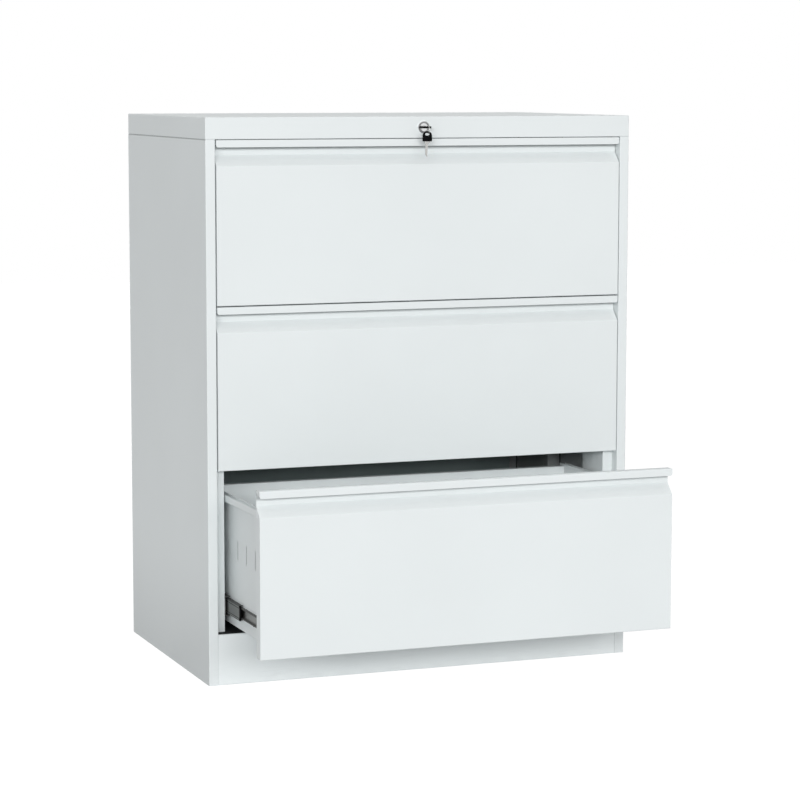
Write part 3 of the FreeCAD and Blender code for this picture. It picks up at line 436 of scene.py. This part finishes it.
def cage_strip():
    """Pressed cage strip: grey steel with an oily film that gathers in patches."""
    cage = Vector(group("metal").cage)
    finish = Finish("cage_strip")
    film = finish.grain(6.0 * MM, (1.0, 2.0, 1.0), 4.0, 0.6)
    lines = finish.grain(0.3 * MM, (1.0, 60.0, 1.0), 2.0)
    tone = finish.tint(cage * 0.7, cage * 1.25, lines)
    oily = (cage[0] * 0.62, cage[1] * 0.58, cage[2] * 0.5)
    tone = finish.blend_tint(tone, oily, film.fade(0.45, 0.75) * 0.6)
    rough = 0.42 - film * 0.2 + lines * 0.1
    drawn = finish.relief(lines, 0.02 * MM, 0.5)
    return finish.surface(base_color=tone, roughness=rough, metallic=1.0, normal=drawn)


def turned_chrome():
    """Chrome with the turned rings of the lock face and a few hairline marks round the keyway."""
    chrome = Vector(group("metal").chrome)
    finish = Finish("turned_chrome")
    x, _, z = finish.axes()
    rise = z - middle_height("lock_plug")
    reach = finish.math("SQRT", x * x + rise * rise)
    rings = finish.math("SINE", reach * (2.0 * math.pi / (0.22 * MM))) * 0.5 + 0.5
    marks = finish.grain(0.5 * MM, (1.0, 1.0, 14.0), 3.0, 0.6).fade(0.6, 0.72)
    tone = finish.tint(chrome, chrome * 0.8, marks * 0.5)
    # painted reflection: the bezel round the plug is coloured darker than its edge
    bezel_reflection = reach.fade(6.9 * MM, 7.4 * MM) * (1.0 - reach.fade(10.3 * MM, 10.7 * MM))
    tone = finish.blend_tint(tone, chrome * 0.36, bezel_reflection)
    rough = 0.12 + marks * 0.2 + rings * 0.04 + bezel_reflection * 0.12
    turned = finish.relief(rings, 0.006 * MM, 0.35)
    return finish.surface(base_color=tone, roughness=rough, metallic=1.0, normal=turned)


def milled_nickel():
    """Nickel plate on the keys: milled lines and rubbed places that show the brass a little."""
    nickel = Vector(group("metal").nickel)
    finish = Finish("milled_nickel")
    lines = finish.grain(0.25 * MM, (12.0, 1.0, 1.0), 3.0, 0.6)
    rubbed_and_slot_shade = finish.grain(3.0 * MM, detail=4.0, rough=0.65).fade(0.58, 0.78)
    tone = finish.tint(nickel * 0.9, nickel * 1.05, lines)
    tone = finish.blend_tint(tone, (0.52, 0.46, 0.36), rubbed_and_slot_shade * 0.2)
    rough = 0.2 + lines * 0.12 + rubbed_and_slot_shade * 0.12
    milled = finish.relief(lines, 0.015 * MM, 0.5)
    return finish.surface(base_color=tone, roughness=rough, metallic=1.0, normal=milled)


def moulded(name, colour, spark, low_rough, shine):
    """Moulded plastic: eroded grain and slow flow lines."""
    finish = Finish(name)
    colour = Vector(colour)
    grit = finish.grain(0.28 * MM, detail=3.0, rough=0.6)
    flow = finish.grain(7.0 * MM, (1.0, 1.0, 2.4), 3.0)
    tone = finish.tint(colour * (1.0 - spark), colour * (1.0 + spark), flow.fade(0.3, 0.7))
    tone = finish.blend_tint(tone, colour * (1.0 + 2.0 * spark), grit.fade(0.6, 0.85) * 0.4)
    rough = low_rough + grit * 0.16 + flow * 0.08
    skin = finish.relief(grit, 0.03 * MM, 0.6)
    return finish.surface(base_color=tone, roughness=rough, normal=skin, specular_ior_level=shine)


def moulded_black():
    """Black plastic of the keys' heads and the slides' stops and levers."""
    return moulded("moulded_black", group("metal").black, 0.35, 0.42, 0.03)


def moulded_white():
    """Natural white plastic of the bar guides."""
    return moulded("moulded_white", group("metal").nylon, 0.03, 0.42, 0.4)


FINISHES = {
    "painted_steel": powder_coat,
    "zinc_steel": zinc_plate,
    "cage_steel": cage_strip,
    "lock_chrome": turned_chrome,
    "key_nickel": milled_nickel,
    "black_plastic": moulded_black,
    "guide_plastic": moulded_white,
}


def dress(obj, maker):
    """Give an object one finish, made when it is first asked for."""
    finish = bpy.data.materials.get(maker.__name__) or maker()
    if obj.material_slots:
        for place in obj.material_slots:
            place.material = finish
    else:
        obj.data.materials.append(finish)


def finish_nodes(*slots):
    """Give every CAD node of these slots its finish."""
    names = [name for name, slot in SLOT_OF.items() if slot in slots]
    if not names:
        raise RuntimeError(f"no node has a slot among {slots}")
    for name in names:
        maker = FINISHES[SLOT_OF[name]]
        if name in CASE_NODES:
            maker = case_coat
        elif maker is powder_coat and name.startswith("bottom_"):
            maker = pulled_coat
        dress(NODES[name], maker)


# Small fittings

# outlines in mm: a lip's end behind the front's face and below its top, and a lever below its slide member
LIP_END = ((0.7, -0.7), (17.9, -0.7), (17.9, -3.6), (12.0, -8.5), (0.7, -8.5))
LEVER = ((0.0, 0.0), (26.0, 0.0), (26.0, -1.1), (6.5, -1.3), (5.2, -4.0), (0.8, -4.0))
# how far behind the front end of its slide member a lever starts
LEVER_START = 102.0 * MM
# the cut edge of a key's blade in mm: its distance from the middle, and from the collar
KEY_CUTS = ((3.8, 0.0), (3.8, 3.0), (2.2, 5.0), (2.2, 7.0), (3.0, 8.6), (3.0, 10.4))
KEY_CUTS += ((1.6, 12.4), (1.6, 14.0), (3.4, 16.4), (3.4, 18.0), (1.2, 22.0))


def piece(name, bm, body, slot):
    """A finished fitting: its mesh, finish and the body it rides on."""
    bmesh.ops.remove_doubles(bm, verts=bm.verts, dist=1e-6)
    bmesh.ops.recalc_face_normals(bm, faces=bm.faces)
    mesh = bpy.data.meshes.new(name)
    bm.to_mesh(mesh)
    bm.free()
    obj = bpy.data.objects.new(name, mesh)
    bpy.context.scene.collection.objects.link(obj)
    dress(obj, FINISHES[slot])
    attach(obj, body)


def soften(bm, edges, width, segments=2):
    """Round some edges."""
    bmesh.ops.bevel(
        bm,
        geom=list(edges),
        offset=width,
        offset_type="OFFSET",
        affect="EDGES",
        segments=segments,
        profile=0.5,
        material=-1,
        clamp_overlap=True,
    )


def trim_corners(bm, corners, width, segments):
    """Round some corners of a flat outline."""
    bmesh.ops.bevel(
        bm,
        geom=list(corners),
        offset=width,
        offset_type="OFFSET",
        affect="VERTICES",
        segments=segments,
        profile=0.5,
        material=-1,
        clamp_overlap=True,
    )


def sharp_edges(bm, angle):
    """Edges where the surface turns by more than an angle."""
    return [edge for edge in bm.edges if len(edge.link_faces) == 2 and edge.calc_face_angle(0.0) > angle]


def thicken(bm, corners, way):
    """Make a face of some corners and extrude it."""
    verts = [bm.verts.new(corner) for corner in corners]
    face = bm.faces.new(verts)
    grown = bmesh.ops.extrude_face_region(bm, geom=[face])
    moved = [item for item in grown["geom"] if isinstance(item, bmesh.types.BMVert)]
    bmesh.ops.translate(bm, verts=moved, vec=way)
    return verts + moved


def edges_of(bm, verts):
    """Edges that run between some corners."""
    return [edge for edge in bm.edges if all(vert in verts for vert in edge.verts)]


def round_off(bm, verts, width):
    """Round all the edges between some corners."""
    bmesh.ops.recalc_face_normals(bm, faces=bm.faces)
    soften(bm, edges_of(bm, verts), width)


def placed(outline, y, z):
    """An outline in mm as (Y, Z) points from a place."""
    return [(y + back * MM, z + up * MM) for back, up in outline]


def plate(bm, outline, start, depth):
    """Extrude a flat outline, given as (X, Z) points at Y = start, by a depth along +Y."""
    return thicken(bm, [(x, start, z) for x, z in outline], (0.0, depth, 0.0))


def side_plate(bm, outline, start, depth):
    """Extrude a flat outline, given as (Y, Z) points at X = start, by a depth along +X."""
    return thicken(bm, [(start, y, z) for y, z in outline], (depth, 0.0, 0.0))


class CABINET_OT_paint(bpy.types.Operator):
    """Powder coat on the case, drawers, rails and uprights"""

    bl_idname = "cabinet.paint"
    bl_label = "Paint the steel"

    def execute(self, context):
        finish_nodes("painted_steel")
        return {"FINISHED"}


class CABINET_OT_seams(bpy.types.Operator):
    """Paint-filled seams between the plinth and the posts beside it"""

    bl_idname = "cabinet.seams"
    bl_label = "Fill the seams"

    def execute(self, context):
        low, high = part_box("front_plinth")
        inner, outer = high.x - 0.3 * MM, high.x + 0.8 * MM
        foot, sunk, depth = low.z + 1.0 * MM, low.y + 0.25 * MM, 0.5 * MM
        bm = bmesh.new()
        for side in (-1, 1):
            near, far = sorted((side * inner, side * outer))
            verts = plate(bm, [(near, foot), (far, foot), (far, high.z), (near, high.z)], sunk, depth)
            round_off(bm, verts, 0.12 * MM)
        piece("plinth_seams", bm, "cabinet", "painted_steel")
        return {"FINISHED"}


class CABINET_OT_lip_ends(bpy.types.Operator):
    """Small plates that close both ends of each grip's lip"""

    bl_idname = "cabinet.lip_ends"
    bl_label = "Close the lips"

    def execute(self, context):
        for drawer in DRAWERS:
            low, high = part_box(f"{drawer}_drawer_front")
            bm = bmesh.new()
            for side in (-1, 1):
                self.add_end(bm, side, low, high)
            piece(f"{drawer}_lip_ends", bm, f"{drawer}_drawer", "painted_steel")
        return {"FINISHED"}

    @staticmethod
    def add_end(bm, side, low, high):
        """A plate behind the lip, cut back at its foot."""
        near, far = sorted((side * (high.x - 0.1 * MM), side * (high.x - 1.0 * MM)))
        verts = side_plate(bm, placed(LIP_END, low.y, high.z), near, far - near)
        round_off(bm, verts, 0.15 * MM)


class CABINET_OT_plate(bpy.types.Operator):
    """Zinc on the slides, screws and bars, oiled steel on the ball cages and plastic on the guides"""

    bl_idname = "cabinet.plate"
    bl_label = "Plate the slides"

    def execute(self, context):
        finish_nodes("zinc_steel", "cage_steel", "guide_plastic")
        return {"FINISHED"}


class CABINET_OT_lock(bpy.types.Operator):
    """Chrome on the lock, nickel on the key and black plastic on its head"""

    bl_idname = "cabinet.lock"
    bl_label = "Finish the lock"

    def execute(self, context):
        finish_nodes("lock_chrome", "key_nickel", "black_plastic")
        return {"FINISHED"}


class CABINET_OT_spare_key(bpy.types.Operator):
    """The spare key that hangs on the ring, its plastic head and its steel blade"""

    bl_idname = "cabinet.spare_key"
    bl_label = "Hang the spare key"

    def execute(self, context):
        key = group("key")
        low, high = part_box("key_ring")
        wire = (high.x - low.x) / 2
        # the head hangs a little to the left of the ring's foot, with its rim over the wire
        aside, rim = -1.6 * MM, 2.9 * MM
        eye = Vector((aside, (low.y + high.y) / 2, low.z + wire))
        top = eye.z + wire + rim
        self.make_head(key, eye, top)
        self.make_blade(key, eye, top - key.head_length)
        return {"FINISHED"}

    @staticmethod
    def make_head(key, eye, top):
        """A plate with an arched top, square shoulders and a long eye that the ring runs through."""
        bm = bmesh.new()
        half = key.head_width / 2
        back = eye.y + key.head_thickness / 2
        foot = top - key.head_length
        arch, shoulder, rounding = 7.6 * MM, 1.2 * MM, 0.5 * MM
        hole_radius, hole_stretch, hole_fall = 2.4 * MM, 1.85, 5.2 * MM
        outline = ((-half, foot), (half, foot), (half, top), (-half, top))
        corners = [bm.verts.new((eye.x + x, back, z)) for x, z in outline]
        bm.faces.new(corners)
        trim_corners(bm, corners[2:], arch, 8)
        trim_corners(bm, corners[:2], shoulder, 3)
        hole = bmesh.ops.create_circle(bm, segments=24, radius=hole_radius)["verts"]
        bmesh.ops.scale(bm, verts=hole, vec=(hole_stretch, 1.0, 1.0))
        place = Matrix.Translation((eye.x, back, top - hole_fall))
        bmesh.ops.transform(bm, matrix=place @ Matrix.Rotation(math.radians(90.0), 4, "X"), verts=hole)
        bmesh.ops.delete(bm, geom=bm.faces[:], context="FACES_ONLY")
        bmesh.ops.triangle_fill(bm, edges=bm.edges[:], use_beauty=True)
        grown = bmesh.ops.extrude_face_region(bm, geom=bm.faces[:])
        moved = [item for item in grown["geom"] if isinstance(item, bmesh.types.BMVert)]
        bmesh.ops.translate(bm, verts=moved, vec=(0.0, -key.head_thickness, 0.0))
        bmesh.ops.recalc_face_normals(bm, faces=bm.faces)
        soften(bm, sharp_edges(bm, math.radians(60.0)), rounding, 3)
        piece("spare_key_head", bm, "key_ring", "black_plastic")

    @staticmethod
    def make_blade(key, eye, foot):
        """Collar, and a blade that narrows to its point."""
        collar_width, collar_size = 10.4 * MM, 2.8 * MM
        half, point, taper, thickness = 3.8 * MM, 0.6 * MM, 4.0 * MM, 2.0 * MM
        bm = bmesh.new()
        collar = bmesh.ops.create_cube(bm, size=1.0)["verts"]
        bmesh.ops.scale(bm, verts=collar, vec=(collar_width, collar_size, collar_size))
        bmesh.ops.translate(bm, verts=collar, vec=(eye.x, eye.y, foot - collar_size / 2))
        soften(bm, bm.edges[:], 0.5 * MM)
        start = foot - collar_size
        tip = start - key.blade_length
        # the drops come to under 0.03 mm here, so the blade is a wedge and its cuts don't show
        scale = key.blade_length / KEY_CUTS[-1][1]
        right = [(eye.x + x * MM, start - drop * MM * scale) for x, drop in KEY_CUTS]
        left = [(eye.x - point, tip), (eye.x - half, tip + taper), (eye.x - half, start)]
        verts = plate(bm, right + left, eye.y - thickness / 2, thickness)
        soften(bm, edges_of(bm, verts), 0.2 * MM, 1)
        piece("spare_key_blade", bm, "key_ring", "key_nickel")


class CABINET_OT_slide_stops(bpy.types.Operator):
    """Black plastic stops on the front ends of the middle slide members, whose black also paints the shade in
    the gap there
    """

    bl_idname = "cabinet.slide_stops"
    bl_label = "Fit the slide stops"

    def execute(self, context):
        for drawer in DRAWERS:
            low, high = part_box(f"{drawer}_slide_middles")
            bm = bmesh.new()
            for side in (-1, 1):
                self.add_stop(bm, side, low, high)
            piece(f"{drawer}_slide_stops", bm, f"{drawer}_slide_middles", "black_plastic")
        return {"FINISHED"}

    @staticmethod
    def add_stop(bm, side, low, high):
        """A bumper on the channel's end: a bar beside the drawer's member, hooked over both corners."""
        lap, clasp, depth = 0.2 * MM, 3.2 * MM, 4.5 * MM
        bar, gap, hook = (side * (high.x - inset) for inset in (2.8 * MM, 1.2 * MM, -lap))
        top, foot = high.z + lap, low.z - lap
        under, over = top - clasp, foot + clasp
        outline = [(hook, top), (bar, top), (bar, foot), (hook, foot)]
        outline += [(hook, over), (gap, over), (gap, under), (hook, under)]
        # painted shade: the stop's black also stands for the shade in the gap at the member's end
        verts = plate(bm, outline, low.y - depth, depth)
        round_off(bm, verts, 0.3 * MM)


class CABINET_OT_slide_levers(bpy.types.Operator):
    """Black release levers under the drawers' own slide members"""

    bl_idname = "cabinet.slide_levers"
    bl_label = "Fit the slide levers"

    def execute(self, context):
        for drawer in DRAWERS:
            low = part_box(f"{drawer}_slide_inners")[0]
            wall = -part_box(f"{drawer}_drawer_left_wall")[0].x
            bm = bmesh.new()
            for side in (-1, 1):
                self.add_lever(bm, side, low, wall)
            piece(f"{drawer}_slide_levers", bm, f"{drawer}_drawer", "black_plastic")
        return {"FINISHED"}

    @staticmethod
    def add_lever(bm, side, low, wall):
        """A thumb tab that hangs below the member's edge, flat against the drawer's wall."""
        near, far = sorted((side * (wall + 0.1 * MM), side * (wall + 1.1 * MM)))
        start = low.y + LEVER_START
        verts = side_plate(bm, placed(LEVER, start, low.z), near, far - near)
        round_off(bm, verts, 0.3 * MM)


# Studio

# where the light comes from
FRONT_WAY = (-0.3005, -0.9248, 0.2334)
LEFT_WAY = (-0.95, -0.1, 0.3)
TOP_WAY = (0.0, -0.1, 1.0)
PANEL_WIDTH, PANEL_HEIGHT, PANEL_DISTANCE = 20.8, 3.8, 18.0
LAMP_SPREAD, LAMP_DISTANCE = math.radians(60.0), 4.0
FLOOR_HALF = 9.0
# the floor: what it throws back on the cabinet, and what is seen of it
FLOOR_PALE = (0.62, 0.625, 0.63, 1.0)
FLOOR_SHADOW = (0.30, 0.30, 0.30, 1.0)
FLOOR_GLOW = 0.88
WHITE = (1.0, 1.0, 1.0, 1.0)


class CABINET_OT_studio(bpy.types.Operator):
    """Pale floor, soft light from the front, the left and above, and the camera"""

    bl_idname = "cabinet.studio"
    bl_label = "Set up the studio"

    def execute(self, context):
        studio = group("studio")
        self.make_floor()
        self.make_sky(studio.sky)
        self.make_panel("front_light", FRONT_WAY, studio.front)
        self.make_lamp("left_light", LEFT_WAY, studio.left)
        self.make_lamp("top_light", TOP_WAY, studio.top)
        self.make_camera(studio)
        context.scene.view_settings.view_transform = "Standard"
        return {"FINISHED"}

    @staticmethod
    def seen_ray(shade):
        """1 for rays that show the background: seen straight, mirrored or through glass."""
        path = shade.node("ShaderNodeLightPath").socket.node.outputs
        kinds = ("Is Camera Ray", "Is Glossy Ray", "Is Transmission Ray")
        rays = [Shade(shade.tree, path[kind]) for kind in kinds]
        return shade.math("MAXIMUM", shade.math("MAXIMUM", rays[0], rays[1]), rays[2])

    def make_floor(self):
        """A wide pale floor that is white to the eye apart from the cabinet's soft shadow."""
        bm = bmesh.new()
        bmesh.ops.create_grid(bm, x_segments=2, y_segments=2, size=FLOOR_HALF)
        mesh = bpy.data.meshes.new("floor")
        bm.to_mesh(mesh)
        bm.free()
        floor = bpy.data.objects.new("floor", mesh)
        bpy.context.scene.collection.objects.link(floor)
        paper = Finish("floor_paper")
        pale = paper.node("ShaderNodeBsdfDiffuse", None, {"Color": FLOOR_PALE})
        shadow = paper.node("ShaderNodeBsdfDiffuse", None, {"Color": FLOOR_SHADOW})
        glow = paper.node("ShaderNodeEmission", None, {"Color": WHITE, "Strength": FLOOR_GLOW})
        white = paper.node("ShaderNodeAddShader", None, {0: shadow, 1: glow})
        mixed = paper.node("ShaderNodeMixShader", None, {0: self.seen_ray(paper), 1: pale, 2: white})
        paper.node("ShaderNodeOutputMaterial", None, {"Surface": mixed})
        mesh.materials.append(paper.material)

    def make_sky(self, strength):
        """Even light from all round, white where it is seen."""
        world = bpy.data.worlds.new("studio_sky")
        world.use_nodes = True
        bpy.context.scene.world = world
        sky = Shade(world.node_tree)
        sky.tree.nodes.clear()
        level = strength + self.seen_ray(sky) * (1.0 - strength)
        shine = sky.node("ShaderNodeBackground", None, {"Color": WHITE, "Strength": level})
        sky.node("ShaderNodeOutputWorld", None, {"Surface": shine})

    @staticmethod
    def make_panel(name, toward, power):
        """A wide low panel of light, far off in a direction."""
        lamp = bpy.data.lights.new(name, "AREA")
        lamp.shape = "RECTANGLE"
        lamp.size = PANEL_WIDTH
        lamp.size_y = PANEL_HEIGHT
        lamp.energy = power
        holder = bpy.data.objects.new(name, lamp)
        bpy.context.scene.collection.objects.link(holder)
        holder.location = Vector(toward) * PANEL_DISTANCE + Vector((0.0, 0.0, 0.5))
        holder.rotation_euler = Vector(toward).to_track_quat("Z", "Y").to_euler()
        holder.visible_camera = False

    @staticmethod
    def make_lamp(name, toward, strength):
        """A soft far light that comes from a direction."""
        lamp = bpy.data.lights.new(name, "SUN")
        lamp.energy = strength
        lamp.angle = LAMP_SPREAD
        holder = bpy.data.objects.new(name, lamp)
        bpy.context.scene.collection.objects.link(holder)
        holder.location = Vector(toward) * LAMP_DISTANCE
        holder.rotation_euler = Vector(toward).to_track_quat("Z", "Y").to_euler()

    @staticmethod
    def make_camera(studio):
        """The photograph's camera."""
        camera = bpy.data.cameras.new("camera")
        camera.lens = studio.lens
        camera.sensor_width = 36.0
        camera.sensor_fit = "HORIZONTAL"
        camera.clip_end = 60.0
        ahead = Vector(
            (
                math.sin(studio.yaw) * math.cos(studio.pitch),
                math.cos(studio.yaw) * math.cos(studio.pitch),
                -math.sin(studio.pitch),
            )
        )
        level = Vector((math.cos(studio.yaw), -math.sin(studio.yaw), 0.0))
        upward = level.cross(ahead)
        right = level * math.cos(studio.roll) + upward * math.sin(studio.roll)
        up = upward * math.cos(studio.roll) - level * math.sin(studio.roll)
        turn = Matrix((right, up, -ahead)).transposed().to_4x4()
        holder = bpy.data.objects.new("camera", camera)
        bpy.context.scene.collection.objects.link(holder)
        holder.matrix_world = Matrix.Translation(studio.place) @ turn
        bpy.context.scene.camera = holder


class CABINET_PT_panel(bpy.types.Panel):
    """The cabinet's values and the buttons that build it"""

    bl_label = "Filing cabinet"
    bl_idname = "CABINET_PT_panel"
    bl_space_type = "VIEW_3D"
    bl_region_type = "UI"
    bl_category = "Cabinet"

    def draw(self, context):
        for name in GROUPS:
            values = group(name)
            for key in values.__annotations__:
                self.layout.prop(values, key)
        for operator in OPERATORS:
            self.layout.operator(operator.bl_idname)


GROUPS = {"paint": CabinetPaint, "metal": CabinetMetal, "key": CabinetKey, "studio": CabinetStudio}
OPERATORS = (
    CABINET_OT_paint,
    CABINET_OT_seams,
    CABINET_OT_lip_ends,
    CABINET_OT_plate,
    CABINET_OT_lock,
    CABINET_OT_spare_key,
    CABINET_OT_slide_stops,
    CABINET_OT_slide_levers,
    CABINET_OT_studio,
)
CLASSES = (*GROUPS.values(), *OPERATORS, CABINET_PT_panel)


def register():
    for item in CLASSES:
        bpy.utils.register_class(item)
    for name, item in GROUPS.items():
        setattr(bpy.types.Scene, "cabinet_" + name, PointerProperty(type=item))


def unregister():
    for name in GROUPS:
        delattr(bpy.types.Scene, "cabinet_" + name)
    for item in reversed(CLASSES):
        bpy.utils.unregister_class(item)


def main():
    register()
    bpy.ops.cabinet.paint()
    bpy.ops.cabinet.seams()
    bpy.ops.cabinet.lip_ends()
    bpy.ops.cabinet.plate()
    bpy.ops.cabinet.lock()
    bpy.ops.cabinet.spare_key()
    bpy.ops.cabinet.slide_stops()
    bpy.ops.cabinet.slide_levers()
    bpy.ops.cabinet.studio()


if __name__ == "__main__":
    main()
